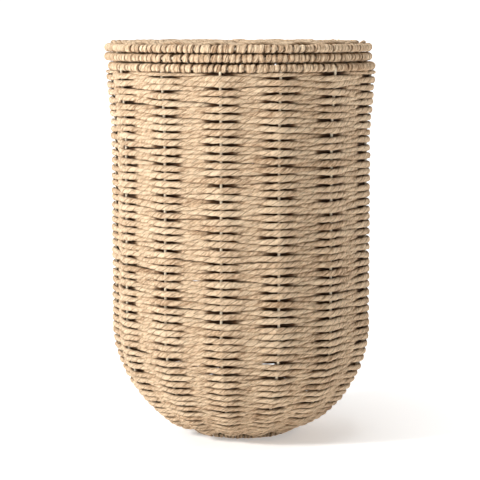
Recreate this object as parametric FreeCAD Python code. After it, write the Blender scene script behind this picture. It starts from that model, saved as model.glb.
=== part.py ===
import FreeCAD, Part
import math
import os

# A round laundry hamper, woven from paper rope on a wire frame, with a loose flat lid.
# Millimetres. The origin is on the basket's axis, where its foot ring meets the floor.
# +Z is up and the front is -Y. An azimuth is in degrees from the front, towards +X.

# Wire and rope
RING_WIRE_RADIUS = 2.0  # the rings of the frame
STAKE_RADIUS = 1.75  # the upright wires of the basket, the lid's spokes and struts
ROPE_DEPTH = 5.5  # one strand of rope where it passes a wire, measured through the wall
WEAVE_DEPTH = 2 * (ROPE_DEPTH + STAKE_RADIUS)  # a strand outside each wire and one inside it
STAKE_DEPTH = WEAVE_DEPTH / 2  # the wires stand in the middle of the wall

# The basket's outer face, from its straight middle
BODY_RADIUS = 193.0
BOWL_TOP_Z = 166.0  # the wall is upright from here ...
FLARE_START_Z = 440.0  # ... to here, and above it an arc leans it out towards the rim
FLARE_RADIUS = 400.0
FLARE_LEAN = 4.8  # degrees from upright
BOWL_BENDS = ((170.0, 22.0), (190.0, 24.0), (125.0, 36.0))  # radius and turn of each arc, from the top
BASE_BEND_RADIUS = 70.0  # the last arc brings the base level

# Rings, each a wire wrapped in rope
WRAP_RADIUS = 6.5
RING_RADIUS = 191.0  # centre line of the rim and of the lid's two rings
RIM_Z = 545.0
LID_GAP = 0.8  # between the wrappings of the rim and of the lid's lower ring
LID_RING_STEP = 13.2  # between the centre lines of the lid's two rings
FOOT_RADIUS = 68.0
FOOT_WRAP_RADIUS = 4.8
FOOT_Z = 4.4  # centre line of the foot ring, whose wrapping is pressed flat on the floor
HUB_RADIUS = 26.0  # the rings that the stakes and the spokes run in to

# Stakes and spokes
FIRST_STAKE_AZIMUTH = -62.9
STAKE_SHIFTS = (0.0, -0.1, -1.3, -3.9, -5.0, 1.4, 1.6, 0.5, 1.4, 0.3, 1.1, -0.2, 0.6)  # from even spacing
SPOKE_COUNT = 19
FIRST_SPOKE_AZIMUTH = -47.8
SPOKE_RISE = 3.0  # the spokes lie on the wire of the lid's upper ring
SPOKE_OVERHANG = 1.5  # and end a little way past its centre line

# The lid, which lies a little to one side of the rim, and the locating ring under it
LID_SHIFT_X = -4.8
STRUT_COUNT = 8
FIRST_STRUT_AZIMUTH = 22.5
LOCATING_RADIUS = 174.0
LOCATING_Z = 547.0
STRUT_BEND_RADIUS = 8.0

LOWER_RING_Z = RIM_Z + 2 * WRAP_RADIUS + LID_GAP
UPPER_RING_Z = LOWER_RING_Z + LID_RING_STEP
SPOKE_Z = UPPER_RING_Z + SPOKE_RISE
WALL_TOP_Z = RIM_Z - WRAP_RADIUS
UP = FreeCAD.Vector(0, 0, 1)
CENTRE = FreeCAD.Vector(0, 0, 0)


def point(radius, z):
    """A point of the meridian, the half plane through the axis and +X."""
    return FreeCAD.Vector(radius, 0, z)


def arc(centre_radius, centre_z, radius, start, end):
    """An arc of the meridian, from start to end degrees, anticlockwise from +X when end is larger."""
    angles = [math.radians(start + (end - start) * part) for part in (0, 0.5, 1)]
    ends = [point(centre_radius + radius * math.cos(a), centre_z + radius * math.sin(a)) for a in angles]
    return Part.Arc(*ends).toShape()


def wall_edges(depth, top_z):
    """The wall's meridian at this depth under the outer face, from top_z down to the end of the bowl.

    Returns the edges, and for the arc that would bring the base level the radius and the height of its
    centre and the degrees already turned."""
    flare = arc(BODY_RADIUS + FLARE_RADIUS, FLARE_START_Z, FLARE_RADIUS + depth, 180 - FLARE_LEAN, 180)
    flare_top = flare.Vertexes[0].Point
    top_radius = flare_top.x + (top_z - flare_top.z) * math.tan(math.radians(FLARE_LEAN))
    edges = [Part.LineSegment(point(top_radius, top_z), flare_top).toShape(), flare]
    side = BODY_RADIUS - depth
    edges.append(Part.LineSegment(point(side, FLARE_START_Z), point(side, BOWL_TOP_Z)).toShape())
    centre_radius = BODY_RADIUS
    centre_z = BOWL_TOP_Z
    turned = 0.0
    last_radius = 0.0
    for radius, turn in BOWL_BENDS + ((BASE_BEND_RADIUS, 0.0),):
        step = radius - last_radius
        centre_radius -= step * math.cos(math.radians(turned))
        centre_z += step * math.sin(math.radians(turned))
        if turn:
            edges.append(arc(centre_radius, centre_z, radius - depth, -turned, -turned - turn))
        turned += turn
        last_radius = radius
    return edges, (centre_radius, centre_z, turned)


def base_edges(depth, inner_radius):
    """The base's meridian at this depth, from the end of the bowl in to inner_radius."""
    centre_radius, centre_z, turned = wall_edges(depth, WALL_TOP_Z)[1]
    radius = BASE_BEND_RADIUS - depth
    bend = arc(centre_radius, centre_z, radius, -turned, -90)
    level = centre_z - radius
    return [bend, Part.LineSegment(point(centre_radius, level), point(inner_radius, level)).toShape()]


def base_level(depth):
    """Height of the level base at this depth above its outer face."""
    return base_edges(depth, 0)[1].Vertexes[0].Point.z


def shell(outer, inner):
    """The solid between two meridian lines, turned about the axis."""
    first = Part.LineSegment(outer[0].firstVertex().Point, inner[0].firstVertex().Point).toShape()
    last_points = [edges[-1].lastVertex().Point for edges in (outer, inner)]
    last = Part.LineSegment(*last_points).toShape()
    outline = Part.Wire(Part.__sortEdges__(outer + inner + [first, last]))
    return Part.Face(outline).revolve(CENTRE, UP, 360)


def ring(radius, z, tube_radius):
    return Part.makeTorus(radius, tube_radius, FreeCAD.Vector(0, 0, z), UP)


def bent_wire(edges, radius):
    """A round wire along meridian edges, which run on from each other without a corner."""
    start = edges[0].firstVertex().Point
    direction = edges[0].tangentAt(edges[0].FirstParameter)
    section = Part.Wire(Part.makeCircle(radius, start, direction))
    wire = Part.Wire(edges).makePipeShell([section], True, False)
    return wire if wire.Volume > 0 else wire.reversed()


def at_azimuth(shape, azimuth):
    """A copy of a shape that was made in the meridian, turned to its place."""
    turned = shape.copy()
    turned.rotate(CENTRE, UP, azimuth - 90)
    return turned


def without(shape, cutters):
    """The shape with room cut in it for other pieces."""
    rest = shape.cut(list(cutters))
    return rest.Solids[0] if len(rest.Solids) == 1 else rest


def make_basket():
    """Nodes of the basket: its frame of wires, and the rope on it, which grips the stakes tightly."""
    rim_wire = ring(RING_RADIUS, RIM_Z, RING_WIRE_RADIUS)
    foot_wire = ring(FOOT_RADIUS, FOOT_Z, RING_WIRE_RADIUS)
    hub_ring = ring(HUB_RADIUS, base_level(STAKE_DEPTH), RING_WIRE_RADIUS)
    route = wall_edges(STAKE_DEPTH, RIM_Z)[0] + base_edges(STAKE_DEPTH, HUB_RADIUS)
    stake = without(bent_wire(route, STAKE_RADIUS), [rim_wire, hub_ring])
    nodes = {"rim_wire": rim_wire, "foot_ring_wire": foot_wire, "base_hub_ring": hub_ring}
    for number, shift in enumerate(STAKE_SHIFTS):
        azimuth = FIRST_STAKE_AZIMUTH + number * 360 / len(STAKE_SHIFTS) + shift
        nodes[f"stake_wire_{number + 1:02d}"] = at_azimuth(stake, azimuth)
    below_floor = Part.makeCylinder(BODY_RADIUS, FOOT_WRAP_RADIUS, CENTRE, UP * -1)
    foot_wrap = without(ring(FOOT_RADIUS, FOOT_Z, FOOT_WRAP_RADIUS), [below_floor])
    wall = shell(wall_edges(0, WALL_TOP_Z)[0], wall_edges(WEAVE_DEPTH, WALL_TOP_Z)[0])
    base = shell(base_edges(0, 0), base_edges(WEAVE_DEPTH, 0))
    nodes["rim_wrap"] = without(ring(RING_RADIUS, RIM_Z, WRAP_RADIUS), [rim_wire])
    nodes["foot_ring_wrap"] = without(foot_wrap, [foot_wire])
    nodes["wall_weave"] = without(wall, [foot_wrap])
    nodes["base_weave"] = without(base, [foot_wrap])
    return nodes


def strut_edges():
    """A strut's line: down the inside of the lid's two rings, then in to the locating ring."""
    side = RING_RADIUS - RING_WIRE_RADIUS - STAKE_RADIUS
    corner = point(side, LOWER_RING_Z - RING_WIRE_RADIUS)
    end = point(LOCATING_RADIUS, LOCATING_Z)
    slope = end.sub(corner)
    turn = math.atan2(side - LOCATING_RADIUS, corner.z - LOCATING_Z)
    reach = STRUT_BEND_RADIUS * math.tan(turn / 2)
    bend_start = corner.add(UP * reach)
    bend_end = corner.add(slope.normalize() * reach)
    degrees = math.degrees(turn)
    bend = arc(side - STRUT_BEND_RADIUS, bend_start.z, STRUT_BEND_RADIUS, 0, -degrees)
    upright = Part.LineSegment(point(side, UPPER_RING_Z), bend_start).toShape()
    return [upright, bend, Part.LineSegment(bend_end, end).toShape()]


def make_lid():
    """Nodes of the lid: two wrapped rings, a woven panel on spokes, and a locating ring on struts."""
    upper_wire = ring(RING_RADIUS, UPPER_RING_Z, RING_WIRE_RADIUS)
    lower_wire = ring(RING_RADIUS, LOWER_RING_Z, RING_WIRE_RADIUS)
    hub_ring = ring(HUB_RADIUS, SPOKE_Z, RING_WIRE_RADIUS)
    locating_ring = ring(LOCATING_RADIUS, LOCATING_Z, RING_WIRE_RADIUS)
    nodes = {
        "lid_upper_ring_wire": upper_wire,
        "lid_lower_ring_wire": lower_wire,
        "lid_hub_ring": hub_ring,
        "lid_locating_ring": locating_ring,
    }
    spoke_length = RING_RADIUS + SPOKE_OVERHANG - HUB_RADIUS
    spoke = Part.makeCylinder(STAKE_RADIUS, spoke_length, point(HUB_RADIUS, SPOKE_Z), FreeCAD.Vector(1, 0, 0))
    spoke = without(spoke, [upper_wire, hub_ring])
    strut = without(bent_wire(strut_edges(), STAKE_RADIUS), [upper_wire, lower_wire, locating_ring])
    for number in range(SPOKE_COUNT):
        azimuth = FIRST_SPOKE_AZIMUTH + number * 360 / SPOKE_COUNT
        nodes[f"lid_spoke_{number + 1:02d}"] = at_azimuth(spoke, azimuth)
    for number in range(STRUT_COUNT):
        azimuth = FIRST_STRUT_AZIMUTH + number * 360 / STRUT_COUNT
        nodes[f"lid_strut_{number + 1:02d}"] = at_azimuth(strut, azimuth)
    upper_wrap = ring(RING_RADIUS, UPPER_RING_Z, WRAP_RADIUS)
    lower_wrap = ring(RING_RADIUS, LOWER_RING_Z, WRAP_RADIUS)
    panel_bottom = FreeCAD.Vector(0, 0, SPOKE_Z - STAKE_DEPTH)
    panel = Part.makeCylinder(RING_RADIUS - WRAP_RADIUS, WEAVE_DEPTH, panel_bottom, UP)
    nodes["lid_upper_ring_wrap"] = without(upper_wrap, [upper_wire])
    nodes["lid_lower_ring_wrap"] = without(lower_wrap, [lower_wire])
    nodes["lid_weave"] = without(panel, [upper_wrap])
    for shape in nodes.values():
        shape.translate(FreeCAD.Vector(LID_SHIFT_X, 0, 0))
    return nodes


os.makedirs("parts", exist_ok=True)
for node, shape in {**make_basket(), **make_lid()}.items():
    shape.exportStep(f"parts/{node}.step")
    print(f"{node}: {shape.Volume / 1000:.1f} cm3, valid {shape.isValid()}, solids {len(shape.Solids)}")
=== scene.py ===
import math
from collections import namedtuple

import bpy
import numpy as np
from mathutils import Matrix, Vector


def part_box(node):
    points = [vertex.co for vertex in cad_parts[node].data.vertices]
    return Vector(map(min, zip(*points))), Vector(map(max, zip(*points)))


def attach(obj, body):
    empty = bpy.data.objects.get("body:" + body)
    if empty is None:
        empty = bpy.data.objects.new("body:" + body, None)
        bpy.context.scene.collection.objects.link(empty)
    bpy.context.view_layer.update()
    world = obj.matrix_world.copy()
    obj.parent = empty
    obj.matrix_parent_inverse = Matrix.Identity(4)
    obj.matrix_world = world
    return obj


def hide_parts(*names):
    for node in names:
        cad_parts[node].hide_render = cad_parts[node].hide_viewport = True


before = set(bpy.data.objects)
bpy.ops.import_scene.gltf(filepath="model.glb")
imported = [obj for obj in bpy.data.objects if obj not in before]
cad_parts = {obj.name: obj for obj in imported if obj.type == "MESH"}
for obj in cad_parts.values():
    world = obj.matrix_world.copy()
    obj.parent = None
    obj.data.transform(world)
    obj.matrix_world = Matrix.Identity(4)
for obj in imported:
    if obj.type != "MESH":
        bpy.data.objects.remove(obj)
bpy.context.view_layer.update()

# A round laundry hamper, woven from two-ply paper rope on a wire frame, with a loose flat lid.
# Metres, +Z up, the front is -Y. Azimuths are measured from the front, towards +X.
MM = 0.001
TURN = 2 * math.pi
Z_AXIS = np.array([0.0, 0.0, 1.0])

# Paper rope
ROPE_WIDTH = 9.3 * MM
ROPE_DEPTH = 5.5 * MM  # pressed against a wire
ROPE_LAY = 33 * MM  # one turn of its two plies about each other
GROOVE = 0.22  # depth between the plies, as a share of the rope's radius
CREASE = 0.07  # depth of the paper's folds, likewise
CREASES = 5  # folds round the rope
STEP = 3.0 * MM  # between cross-sections of a strand
SIDES = 16  # of a strand's cross-section
TUCK = 15 * MM  # length over which a strand's end narrows, where it is tucked in
TUCKED = 0.02  # share of a strand's section that is left at its very end

# Frame wires
STAKE_RADIUS = 1.75 * MM
WIRE_RADIUS = 2.0 * MM

# The wall's line, as the frame's stakes run
WALL_DEPTH = STAKE_RADIUS + ROPE_DEPTH  # from the wall's outer face to the stakes' middle
BODY_RADIUS = 193.0 * MM - WALL_DEPTH
BOWL_TOP_Z = 166.0 * MM
FLARE_START_Z = 440.0 * MM
FLARE_RADIUS = 400.0 * MM + WALL_DEPTH
FLARE_LEAN = 4.8  # degrees
BOWL_BENDS = ((170.0, 22.0), (190.0, 24.0), (125.0, 36.0), (70.0, 8.0))  # outer mm, degrees

# The weave: one strand goes round and round, over one wire and under the next
PITCH = 11.1 * MM  # between neighbouring strands over the same wire
FIRST_ROW = -2.35 * MM  # where the strand would start, if the rim did not squeeze it down
EDGE_ROW = 1.6 * MM  # nearest that the strand's middle comes to an edge of the weave
EDGE_ROOM = 0.7 * MM  # how far its side may pass the edge
SQUEEZE = 1.0 * MM  # how gradually the edge squeezes the strand
CROSSING_WIDTH = 6.9 * MM  # where strands from neighbouring wires squeeze between each other
CROSSING_DEPTH = 7.0 * MM
TIGHTNESS = 0.85  # how nearly a strand runs straight from wire to wire
SWING_POWER = 1.5  # above 1, a strand keeps to the middle of the wall until it is near a wire
WIDTH_POWER = 0.7  # below 1, it widens early on its way to a wire
WIRE_STEPS = 4  # cross-sections from one wire to the next, at the least
BEHIND_SLOPE, BEHIND_OFFSET = 3.0, 1.7  # how a strand takes painted shade as it passes under a wire
SIDE_SHARPNESS = 6  # how narrowly the painted shade on its sides reaches
OUTER_REACH = 0.3  # how far the painted shade on its outer side reaches onto its sides
CHUNK = 2  # turns of the strand in one object

# Wrapped rings, and the coil that closes each hub
WRAP_PITCH = 8.2 * MM
FOOT_PITCH = 5.8 * MM  # the foot ring's wrapping is finer
WRAP_LAY = 90 * MM  # of the rope's plies, which wrapping untwists
WRAP_OVERLAP = 1.04  # width of a turn, as a share of the pitch
WRAP_SINK = 0.5 * MM  # of its face under the CAD ring's, to leave room for its unevenness
WRAP_EVENNESS = 0.8  # how far each turn leans on the ring's hidden side only
WANDER_GROWTH = 20  # how fast a wrapping starts to wander, from where its ends meet
WINDING_STEPS = 16
COIL_PITCH = 6.5 * MM
COIL_DEPTH = 7.0 * MM
COIL_OVERLAP = 1.1  # width of a turn, as a share of the pitch
COIL_HIDDEN = 0.4  # how far its first turn's middle lies under the ring's wire, likewise
COIL_STEPS = 60
PANEL_EDGE = 0.6  # of the way from its ring's middle to the ring's inside, where the lid's panel starts

# Unevenness, each as its size and the typical length between its swings
# A strand's, with the length in metres
LAY_WAVE = (0.9, 70 * MM)  # radians
PLUMP_WAVES = ((0.045, 14 * MM), (0.045, 7 * MM))  # share of its radius
GROOVE_WAVE = (0.4, 25 * MM)  # share of the groove's depth
CREASE_WAVE = (1.0, 12 * MM)  # share of the creases' depth
CREASE_TURN_WAVE = (2.5, 20 * MM)  # radians
TONE_WAVES = ((0.6, 60 * MM), (0.5, 600 * MM))
# A weave's, with the length in turns round the axis
ROW_WAVES = ((0.6 * MM, 0.035), (0.6 * MM, 0.11), (0.4 * MM, 0.7), (1.2 * MM, 9.0))
BULGE_WAVE = (0.25 * MM, 0.04)
BEHIND_WAVE = (0.3, 0.06)  # share of the darkest painted shade
# A wrapping's, with the length in windings
WANDER_WAVE = (0.13, 0.9)  # windings
WRAP_DEPTH_WAVE = (0.3 * MM, 0.8)
WRAP_WIDTH_WAVE = (0.07, 0.8)  # share of the pitch

# Camera and studio
CAMERA_PLACE = (-0.0022, -2.85, 0.612)
CAMERA_AIM = (-0.0022, 0.0, 0.2864)
CAMERA_LENS = 144.7  # mm
CAMERA_REACH = 300
FLOOR_SIZE = 200
FLOOR_GLOW = 0.32  # at the hamper
FLOOR_GLOW_RISE = 0.3  # with each metre from it, up to a glow of 1


class Ring:
    """Place and size of a round CAD ring, read from its node."""

    def __init__(self, node):
        low, high = (np.array(corner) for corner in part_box(node))
        self.centre = (low + high) / 2
        self.tube = (high[2] - low[2]) / 2
        self.radius = (high[0] - low[0]) / 2 - self.tube


def azimuths(prefix, centre):
    """Azimuth in degrees of each CAD wire whose name has this prefix, in rising order."""
    outer_part = 0.9  # of the wire's reach, past which its points give its azimuth
    found = []
    for name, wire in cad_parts.items():
        if name.startswith(prefix):
            points = np.array([v.co for v in wire.data.vertices])[:, :2] - centre[:2]
            reach = np.hypot(*points.T)
            far = points[reach > outer_part * reach.max()].mean(axis=0)
            found.append(math.degrees(math.atan2(far[0], -far[1])))
    return sorted(found)


def outwards(azimuth):
    """Level unit vectors that point away from the axis, at these azimuths in radians."""
    return np.column_stack([np.sin(azimuth), -np.cos(azimuth), np.zeros_like(azimuth)])


class Meridian:
    """A line in the half plane through the axis: radius, height and heading by arc length.

    The heading is the angle from straight down, towards the axis."""

    GRAIN = 0.25 * MM

    def __init__(self, radius, height, heading, moves):
        """Each move is a length and a turn. The turns and the first heading are in degrees."""
        turns = []
        for length, turn in moves:
            count = max(2, int(round(length / self.GRAIN)))
            turns.append(np.tile([length / count, turn / count], (count, 1)))
        steps = np.concatenate(turns)
        self.s = np.concatenate([[0], np.cumsum(steps[:, 0])])
        turned = np.concatenate([[0], np.cumsum(steps[:, 1])])
        self.heading = np.radians(heading) + np.radians(turned)
        middle = (self.heading[1:] + self.heading[:-1]) / 2
        self.r = radius - np.concatenate([[0], np.cumsum(steps[:, 0] * np.sin(middle))])
        self.z = height - np.concatenate([[0], np.cumsum(steps[:, 0] * np.cos(middle))])
        self.length = self.s[-1]

    def at(self, s):
        """Radius, height and heading at these arc lengths."""
        return [np.interp(s, self.s, line) for line in (self.r, self.z, self.heading)]

    def s_where_radius(self, radius):
        """Arc length where the line, going in, first comes to this radius."""
        return self.s[np.argmax(self.r <= radius)]


def wall_meridian(top_z, hub_radius):
    """The basket's line, from under the rim down the wall, round the bowl and in to the hub."""
    lean = math.radians(FLARE_LEAN)
    flare_top = FLARE_START_Z + FLARE_RADIUS * math.sin(lean)
    flare_out = FLARE_RADIUS * (1 - math.cos(lean))
    taper = (top_z - flare_top) / math.cos(lean)
    moves = [(taper, 0), (FLARE_RADIUS * lean, -FLARE_LEAN), (FLARE_START_Z - BOWL_TOP_Z, 0)]
    for radius, turn in BOWL_BENDS:
        moves.append(((radius * MM - WALL_DEPTH) * math.radians(turn), turn))
    top_radius = BODY_RADIUS + flare_out + taper * math.sin(lean)
    to_base = Meridian(top_radius, top_z, FLARE_LEAN, moves)
    moves.append((to_base.r[-1] - hub_radius, 0))
    return Meridian(top_radius, top_z, FLARE_LEAN, moves)


def wave(rng, places, *swings):
    """A smooth random line over rising places, the sum of one for each size and typical length."""
    spare_knots = 4
    line = np.zeros(len(places))
    for size, length in swings:
        place = (places - places[0]) / length
        knots = rng.normal(0, size, int(place[-1]) + spare_knots)
        first = place.astype(int)
        part = place - first
        part = part * part * (3 - 2 * part)
        line += knots[first] * (1 - part) + knots[first + 1] * part
    return line


# Cross-sections of a strand, one after another: their points, each one's distance along the
# strand, twist in turns and tone, and the painted shade at each point, where it lies deep in the weave,
# from 0 to 1.
Tube = namedtuple("Tube", "grid length twist tone recess")


def strand(rng, centre, out, up, depth, width, painted_under_wire_shade=0.0, painted_side_shade=0.2, ply_lay=ROPE_LAY):
    """A strand of rope along a centre line, as a Tube. Its ends narrow, where they are tucked in.

    out and up are unit vectors across the line, and depth and width its size along them.
    painted_under_wire_shade is the painted shade on its outer side, where it lies deeper than its
    neighbours, and painted_side_shade the painted shade along its sides, where they meet them, from 0
    to 1."""
    length = np.concatenate([[0], np.cumsum(np.linalg.norm(np.diff(centre, axis=0), axis=1))])
    lay = TURN * length / ply_lay + wave(rng, length, LAY_WAVE)
    tuck = np.sqrt(np.clip(np.minimum(length, length[-1] - length) / TUCK, TUCKED, 1))
    # The angle round the section is 0 on the outer side. The mesh's seam is on the inner one.
    section = (np.arange(SIDES) * TURN / SIDES + math.pi)[None]
    twisted = section - lay[:, None]
    plump = 1 + wave(rng, length, *PLUMP_WAVES)[:, None]
    groove = GROOVE * (1 + wave(rng, length, GROOVE_WAVE))[:, None]
    flute = plump - groove * (1 - np.abs(np.cos(twisted))) ** 2
    crease = CREASE * wave(rng, length, CREASE_WAVE)[:, None]
    flute += crease * np.sin(CREASES * twisted + wave(rng, length, CREASE_TURN_WAVE)[:, None])
    across = flute * np.cos(section) * (tuck * depth / 2)[:, None]
    upright = flute * np.sin(section) * (tuck * width / 2)[:, None]
    grid = centre[:, None] + across[..., None] * out[:, None] + upright[..., None] * up[:, None]
    # Painted shade: the outer side darkens where the strand passes under a wire, and its sides where
    # they meet the neighbouring strands or turns
    painted_under_wire_shade = np.broadcast_to(painted_under_wire_shade, length.shape)[:, None]
    outer_side = np.clip(np.cos(section) + OUTER_REACH, 0, 1)
    painted_shade_on_sides = painted_side_shade * np.abs(np.sin(section)) ** SIDE_SHARPNESS
    recess = np.maximum(painted_under_wire_shade * outer_side, painted_shade_on_sides)
    return Tube(grid, length, lay / TURN, wave(rng, length, *TONE_WAVES), recess)


def make_piece(name, tube, material, body, nodes):
    """Makes one object of a Tube, open at both ends. It rides on a body and replaces CAD nodes."""
    rings, sides = tube.grid.shape[:2]
    ring, side = np.meshgrid(np.arange(rings - 1), np.arange(sides), indexing="ij")
    next_side = (side + 1) % sides
    corners = [(ring, side, side), (ring, next_side, side + 1), (ring + 1, next_side, side + 1),
               (ring + 1, side, side)]
    first, second = tube.grid[:2]
    normal = np.cross(first[1] - first[0], second[0] - first[0])
    if normal @ (first[0] - first.mean(axis=0)) < 0:
        corners.reverse()
    quads = np.stack([a * sides + b for a, b, _ in corners], axis=-1).reshape(-1, 4)
    u = np.stack([tube.length[a] for a, _, _ in corners], axis=-1)
    v = np.stack([c / sides - tube.twist[a] for a, _, c in corners], axis=-1)

    mesh = bpy.data.meshes.new(name)
    mesh.vertices.add(rings * sides)
    mesh.vertices.foreach_set("co", tube.grid.ravel())
    mesh.loops.add(quads.size)
    mesh.loops.foreach_set("vertex_index", quads.ravel())
    mesh.polygons.add(len(quads))
    mesh.polygons.foreach_set("loop_start", np.arange(0, quads.size, 4))
    mesh.polygons.foreach_set("use_smooth", np.ones(len(quads), bool))
    mesh.uv_layers.new(name="strand").data.foreach_set("uv", np.stack([u, v], axis=-1).ravel())
    for shade, values in (("tone", np.repeat(tube.tone, sides)), ("recess", tube.recess.ravel())):
        mesh.attributes.new(shade, "FLOAT", "POINT").data.foreach_set("value", values)
    mesh.update(calc_edges=True)
    mesh.materials.append(material)
    piece = bpy.data.objects.new(name, mesh)
    bpy.context.collection.objects.link(piece)
    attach(piece, body)
    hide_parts(*nodes)


def section_turns(meridian, start, total, wires):
    """How many of a strand's turns come before each of its cross-sections, up to the total."""
    turns = [0.0]
    while turns[-1] < total:
        radius = meridian.at(start + turns[-1] * PITCH / 2)[0]
        turns.append(turns[-1] + 1 / max(WIRE_STEPS * wires, TURN * radius / STEP))
    return np.array(turns)


def weave(name, rng, meridian, start, end, wires, centre, material, body, node, face=1):
    """Weaves a strand round and round from start to end, arc lengths of the meridian.

    wires are their azimuths in degrees. face is 1 when the side that is seen is the meridian's
    outer one, and -1 when it is the other."""
    count = len(wires)
    total = (end - start) / (PITCH / 2)
    turns = section_turns(meridian, start, total, count)
    bearing = turns + 0.5  # in turns from the front, since the strand starts at the back
    wire_bearings = np.append(wires, wires[0] + 360.0) / 360
    whole = np.floor(bearing - wire_bearings[0])
    within = bearing - whole
    # The phase is a whole number at each wire. At an even one the strand passes outside the wire.
    phase = np.interp(within, wire_bearings, np.arange(count + 1)) + whole * count
    wire = np.clip((np.floor(phase) - whole * count).astype(int), 0, count - 1)
    half = TURN * (wire_bearings[wire + 1] - wire_bearings[wire]) / 2
    from_middle = TURN * (within - wire_bearings[wire]) - half
    swing = np.cos(math.pi * phase)
    near_wire = swing ** 2

    row = start + turns * PITCH / 2 + wave(rng, turns, *ROW_WAVES) - EDGE_ROW
    row = EDGE_ROW + SQUEEZE * np.logaddexp(0, row / SQUEEZE)
    r, z, heading = meridian.at(row)
    r = r * (1 - TIGHTNESS * (1 - np.cos(half) / np.cos(from_middle)))
    towards = outwards(TURN * bearing)
    point = centre * (1, 1, 0) + towards * r[:, None] + Z_AXIS * z[:, None]
    out = face * (towards * np.cos(heading)[:, None] - Z_AXIS * np.sin(heading)[:, None])
    up = towards * np.sin(heading)[:, None] + Z_AXIS * np.cos(heading)[:, None]
    bulge = (STAKE_RADIUS + ROPE_DEPTH / 2) * np.sign(swing) * np.abs(swing) ** SWING_POWER
    point = point + out * (bulge + wave(rng, turns, BULGE_WAVE))[:, None]
    depth = CROSSING_DEPTH + (ROPE_DEPTH - CROSSING_DEPTH) * near_wire
    width = CROSSING_WIDTH + (ROPE_WIDTH - CROSSING_WIDTH) * near_wire ** WIDTH_POWER
    width = np.minimum(width, 2 * (row + EDGE_ROOM))
    # Painted shade on the strand's outer side, darkest where it passes under a wire
    painted_under_wire_shade = np.clip(-BEHIND_SLOPE * swing - BEHIND_OFFSET + wave(rng, turns, BEHIND_WAVE), 0, 1)
    whole_strand = strand(rng, point, out, up, depth, width, painted_under_wire_shade)
    for number in range(math.ceil(total / CHUNK)):
        first = np.searchsorted(turns, number * CHUNK)
        last = np.searchsorted(turns, (number + 1) * CHUNK) + 1
        part = Tube(*(line[first:last] for line in whole_strand))
        make_piece(f"{name}_{number + 1:02d}", part, material, body, [node])


def wrapping(name, rng, ring, material, body, nodes, pitch=WRAP_PITCH, painted_side_shade=0.5,
             floor=-math.inf):
    """Rope wound closely round a ring's wire, with painted shade on the sides of its turns. No part of
    it goes under the floor's height.
    """
    windings = round(TURN * ring.radius / pitch)
    turns = np.linspace(0, 1, windings * WINDING_STEPS + 1)

    def uneven(swing):
        """The random line of a swing whose length is in windings."""
        size, length = swing
        return wave(rng, turns, (size, length / windings))

    wander = uneven(WANDER_WAVE) * np.clip(WANDER_GROWTH * np.sin(math.pi * turns), 0, 1)
    winding = TURN * windings * turns
    depth = ring.tube - WIRE_RADIUS
    middle = ring.tube - depth / 2 - WRAP_SINK + uneven(WRAP_DEPTH_WAVE)
    wander -= WRAP_EVENNESS * np.sin(winding) / TURN
    azimuth = TURN * (turns + 0.5 + wander / windings)
    towards = outwards(azimuth)
    tangent = np.column_stack([np.cos(azimuth), np.sin(azimuth), np.zeros_like(azimuth)])
    away = towards * np.cos(winding)[:, None] + Z_AXIS * np.sin(winding)[:, None]
    centre = ring.centre + towards * ring.radius + away * middle[:, None]
    width = pitch * (WRAP_OVERLAP + uneven(WRAP_WIDTH_WAVE))
    tube = strand(rng, centre, away, tangent, depth, width, painted_side_shade=painted_side_shade,
                  ply_lay=WRAP_LAY)
    tube.grid[..., 2] = np.maximum(tube.grid[..., 2], floor)
    make_piece(name, tube, material, body, nodes)


def coil(name, rng, ring, material, body, node):
    """A flat coil of rope that fills a hub ring, and a wrapping round the ring and its first turn."""
    start = ring.radius - WIRE_RADIUS + COIL_PITCH * COIL_HIDDEN
    count = start / COIL_PITCH
    turns = np.linspace(0, count, int(count * COIL_STEPS))
    towards = outwards(TURN * turns)
    out = np.tile(Z_AXIS, (len(turns), 1))
    point = ring.centre + towards * (start - COIL_PITCH * turns)[:, None]
    tube = strand(rng, point, out, towards, COIL_DEPTH, COIL_PITCH * COIL_OVERLAP)
    make_piece(f"{name}_coil", tube, material, body, [node])
    ring.tube = WIRE_RADIUS + COIL_DEPTH / 2
    wrapping(f"{name}_wrapping", rng, ring, material, body, [node])


def new_material(name):
    material = bpy.data.materials.new(name)
    material.use_nodes = True
    return material, material.node_tree, material.node_tree.nodes["Principled BSDF"]


def calculate(tree, operation, *values):
    """A Math node. Each value is a number or another node's output."""
    node = tree.nodes.new("ShaderNodeMath")
    node.operation = operation
    for socket, value in zip(node.inputs, values):
        if isinstance(value, (int, float)):
            socket.default_value = value
        else:
            tree.links.new(value, socket)
    return node.outputs["Value"]


def ramp(tree, factor, stops):
    """A Color Ramp node. Each stop is a position and a colour."""
    node = tree.nodes.new("ShaderNodeValToRGB")
    elements = node.color_ramp.elements
    while len(elements) < len(stops):
        elements.new(0.5)
    for element, (position, colour) in zip(elements, stops):
        element.position = position
        element.color = (*colour, 1)
    tree.links.new(factor, node.inputs["Fac"])
    return node.outputs["Color"]


def blend(tree, factor, colour, other):
    """Mixes a node's colour with a fixed other one."""
    node = tree.nodes.new("ShaderNodeMix")
    node.data_type = "RGBA"
    node.inputs["B"].default_value = (*other, 1)
    tree.links.new(factor, node.inputs["Factor"])
    tree.links.new(colour, node.inputs["A"])
    return node.outputs["Result"]


def attribute(tree, name):
    """One of the shades that make_piece stores on the mesh."""
    node = tree.nodes.new("ShaderNodeAttribute")
    node.attribute_name = name
    return node.outputs["Fac"]


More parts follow.
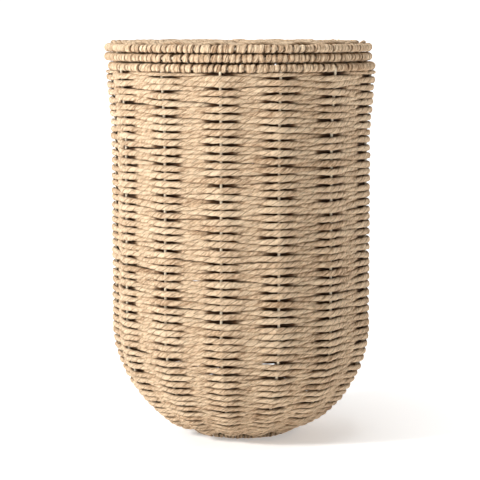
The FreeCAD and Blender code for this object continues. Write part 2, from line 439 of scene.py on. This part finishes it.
def rope_material():
    """Natural straw-coloured paper rope: dull, with fibres and creases that follow its twist, and
    painted shade in its creases and deep in the weave.
    """
    material, tree, shader = new_material("paper_rope")
    shader.inputs["Roughness"].default_value = 0.8
    shader.inputs["Specular IOR Level"].default_value = 0.25
    uv = tree.nodes.new("ShaderNodeUVMap")
    uv.uv_map = "strand"
    parts = tree.nodes.new("ShaderNodeSeparateXYZ")
    tree.links.new(uv.outputs["UV"], parts.inputs["Vector"])
    angle = calculate(tree, "MULTIPLY", parts.outputs["Y"], TURN)
    cosine, sine = calculate(tree, "COSINE", angle), calculate(tree, "SINE", angle)

    def noise(around, along, detail, roughness=0.5):
        """Noise on the twisted strand: features per radian round it and per metre along it."""
        place = tree.nodes.new("ShaderNodeCombineXYZ")
        tree.links.new(calculate(tree, "MULTIPLY", cosine, around), place.inputs["X"])
        tree.links.new(calculate(tree, "MULTIPLY", sine, around), place.inputs["Y"])
        tree.links.new(calculate(tree, "MULTIPLY", parts.outputs["X"], along), place.inputs["Z"])
        texture = tree.nodes.new("ShaderNodeTexNoise")
        texture.inputs["Scale"].default_value = 1.0
        texture.inputs["Detail"].default_value = detail
        texture.inputs["Roughness"].default_value = roughness
        tree.links.new(place.outputs["Vector"], texture.inputs["Vector"])
        return texture.outputs["Fac"]

    # The paper's own colour, from its fibres, its crumpled surface, patches and the rope's tone
    fibres = noise(around=2.6, along=40, detail=3)
    crumple = noise(around=1.2, along=150, detail=4, roughness=0.6)
    patches = noise(around=0.5, along=14, detail=2)
    shade = calculate(tree, "MULTIPLY", fibres, 0.3)
    shade = calculate(tree, "MULTIPLY_ADD", attribute(tree, "tone"), 0.05, shade)
    shade = calculate(tree, "MULTIPLY_ADD", crumple, 0.65, shade)
    shade = calculate(tree, "MULTIPLY_ADD", patches, 0.25, shade)
    colour = ramp(tree, shade, [
        (0.42, (0.36, 0.22, 0.12)),
        (0.52, (0.66, 0.46, 0.29)),
        (0.60, (0.79, 0.59, 0.39)),
        (0.73, (0.86, 0.67, 0.46)),
    ])

    # Painted shade: brown lines in the creases along sharp folds and, here and there, in the groove
    # between the plies
    folds = calculate(tree, "SUBTRACT", noise(around=1.3, along=95, detail=2), 0.5)
    folds = calculate(tree, "ABSOLUTE", folds)
    folds = calculate(tree, "MAXIMUM", calculate(tree, "MULTIPLY_ADD", folds, -22.0, 1.0), 0.0)
    groove = calculate(tree, "SUBTRACT", 1.0, calculate(tree, "ABSOLUTE", cosine))
    stretches = noise(around=1.0, along=45, detail=2)
    line = calculate(tree, "MULTIPLY", calculate(tree, "POWER", groove, 4.0), stretches)
    line = calculate(tree, "MAXIMUM", calculate(tree, "MULTIPLY_ADD", line, 3.0, -0.5), 0.0)
    line = calculate(tree, "MINIMUM", calculate(tree, "MULTIPLY_ADD", folds, 0.5, line), 0.9)
    colour = blend(tree, line, colour, (0.17, 0.085, 0.035))

    # Painted shade: brown and then dark where the strand lies deep in the weave, under a wire or
    # between its neighbours
    recess = attribute(tree, "recess")
    painted_shade_brown = calculate(tree, "MINIMUM", calculate(tree, "MULTIPLY", recess, 1.3), 0.95)
    colour = blend(tree, painted_shade_brown, colour, (0.20, 0.088, 0.030))
    painted_shade_dark = calculate(tree, "MULTIPLY", calculate(tree, "POWER", recess, 1.5), 0.85)
    colour = blend(tree, painted_shade_dark, colour, (0.03, 0.013, 0.005))
    tree.links.new(colour, shader.inputs["Base Color"])

    bump = tree.nodes.new("ShaderNodeBump")
    bump.inputs["Strength"].default_value = 1.0
    bump.inputs["Distance"].default_value = 3.0 * MM
    height = calculate(tree, "MULTIPLY_ADD", fibres, 0.7, crumple)
    height = calculate(tree, "MULTIPLY_ADD", folds, -0.15, height)
    tree.links.new(height, bump.inputs["Height"])
    tree.links.new(bump.outputs["Normal"], shader.inputs["Normal"])
    return material


def wire_material():
    """Cream paint on steel wire, a little uneven."""
    material, tree, shader = new_material("frame_wire")
    shader.inputs["Roughness"].default_value = 0.55
    shader.inputs["Specular IOR Level"].default_value = 0.3
    place = tree.nodes.new("ShaderNodeTexCoord")
    texture = tree.nodes.new("ShaderNodeTexNoise")
    texture.inputs["Scale"].default_value = 60.0
    tree.links.new(place.outputs["Object"], texture.inputs["Vector"])
    colour = ramp(tree, texture.outputs["Fac"],
                  [(0.3, (0.82, 0.69, 0.50)), (0.7, (0.89, 0.78, 0.60))])
    tree.links.new(colour, shader.inputs["Base Color"])
    return material


def make_basket(rope):
    rng = np.random.default_rng(7)
    rim, foot, hub = Ring("rim_wrap"), Ring("foot_ring_wrap"), Ring("base_hub_ring")
    axis = np.zeros(3)
    wires = azimuths("stake_wire_", axis)
    meridian = wall_meridian(rim.centre[2] - rim.tube, hub.radius)
    foot_end = meridian.s_where_radius(foot.radius + foot.tube + ROPE_WIDTH)
    weave("wall_weaving", rng, meridian, FIRST_ROW, foot_end, wires, axis, rope, "basket",
          "wall_weave")
    base_start = meridian.s_where_radius(foot.radius - foot.tube)
    weave("base_weaving", rng, meridian, base_start, meridian.length, wires, axis, rope, "basket",
          "base_weave")
    wrapping("rim_wrapping", rng, rim, rope, "basket", ["rim_wrap"])
    # The foot's wrapping is round its wire and reaches down to the ground. Its turns take strong
    # painted shade on their sides.
    foot.centre[2] = Ring("foot_ring_wire").centre[2]
    foot.tube = foot.centre[2]
    wrapping("foot_wrapping", rng, foot, rope, "basket", ["foot_ring_wrap"], FOOT_PITCH,
             painted_side_shade=0.95, floor=0.0)
    coil("base_hub", rng, hub, rope, "basket", "base_weave")


def make_lid(rope):
    rng = np.random.default_rng(11)
    for level in ("upper", "lower"):
        ring = Ring(f"lid_{level}_ring_wrap")
        wrapping(f"lid_{level}_wrapping", rng, ring, rope, "lid", [f"lid_{level}_ring_wrap"])
    ring, hub = Ring("lid_upper_ring_wrap"), Ring("lid_hub_ring")
    wires = azimuths("lid_spoke_", ring.centre)
    outer = ring.radius - ring.tube * PANEL_EDGE
    panel = Meridian(outer, hub.centre[2], 90, [(outer - hub.radius, 0)])
    weave("lid_weaving", rng, panel, 0.0, panel.length, wires, ring.centre, rope, "lid",
          "lid_weave", face=-1)
    coil("lid_hub", rng, hub, rope, "lid", "lid_weave")


def paint_wires(paint):
    """Gives its material to every CAD wire that stays in view."""
    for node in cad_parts.values():
        if not node.hide_render:
            node.data.materials.clear()
            node.data.materials.append(paint)


def place_and_aim(thing, place, target):
    """Puts a camera or lamp in the scene, turned to a target."""
    bpy.context.collection.objects.link(thing)
    thing.location = place
    thing.rotation_mode = "QUATERNION"
    thing.rotation_quaternion = (Vector(target) - Vector(place)).to_track_quat("-Z", "Y")


def make_camera():
    data = bpy.data.cameras.new("camera")
    data.lens = CAMERA_LENS
    data.clip_end = CAMERA_REACH
    camera = bpy.data.objects.new("camera", data)
    place_and_aim(camera, CAMERA_PLACE, CAMERA_AIM)
    bpy.context.scene.camera = camera


def area_light(name, place, target, size, power):
    data = bpy.data.lights.new(name, "AREA")
    data.size = size
    data.energy = power
    place_and_aim(bpy.data.objects.new(name, data), place, target)


def make_floor():
    """A pale floor that glows more the further it is from the hamper, until it looks white."""
    bpy.ops.mesh.primitive_plane_add(size=FLOOR_SIZE, location=(0, 0, 0))
    floor = bpy.context.object
    floor.name = "floor"
    material, tree, shader = new_material("floor")
    shader.inputs["Base Color"].default_value = (0.93, 0.93, 0.93, 1)
    shader.inputs["Roughness"].default_value = 0.9
    shader.inputs["Emission Color"].default_value = (1, 1, 1, 1)
    place = tree.nodes.new("ShaderNodeTexCoord")
    distance = tree.nodes.new("ShaderNodeVectorMath")
    distance.operation = "LENGTH"
    tree.links.new(place.outputs["Object"], distance.inputs[0])
    glow = calculate(tree, "MULTIPLY_ADD", distance.outputs["Value"], FLOOR_GLOW_RISE, FLOOR_GLOW)
    tree.links.new(calculate(tree, "MINIMUM", glow, 1.0), shader.inputs["Emission Strength"])
    floor.data.materials.append(material)


def make_world():
    """A backdrop that is white behind the hamper and dim in front of it."""
    world = bpy.data.worlds.new("studio")
    world.use_nodes = True
    tree = world.node_tree
    direction = tree.nodes.new("ShaderNodeTexCoord")
    parts = tree.nodes.new("ShaderNodeSeparateXYZ")
    tree.links.new(direction.outputs["Generated"], parts.inputs["Vector"])
    light = ramp(tree, calculate(tree, "MULTIPLY_ADD", parts.outputs["Y"], 0.5, 0.5),
                 [(0.0, (0.09, 0.083, 0.076)), (0.6, (0.13, 0.12, 0.11)), (0.85, (1.1, 1.1, 1.1))])
    tree.links.new(light, tree.nodes["Background"].inputs["Color"])
    bpy.context.scene.world = world


def make_studio():
    """A soft key light from the left of the front, a faint fill from the right and a top light."""
    make_floor()
    make_world()
    area_light("key", (-3.4, -1.75, 2.1), (0, 0, 0.3), size=0.8, power=186)
    area_light("fill", (2.9, -0.1, 1.2), (0, 0, 0.3), size=1.2, power=8)
    area_light("top", (0, -0.4, 2.6), (0, 0, 0.5), size=1.2, power=22)
    bpy.context.scene.view_settings.view_transform = "Standard"


make_camera()
make_studio()
paper = rope_material()
make_basket(paper)
make_lid(paper)
paint_wires(wire_material())
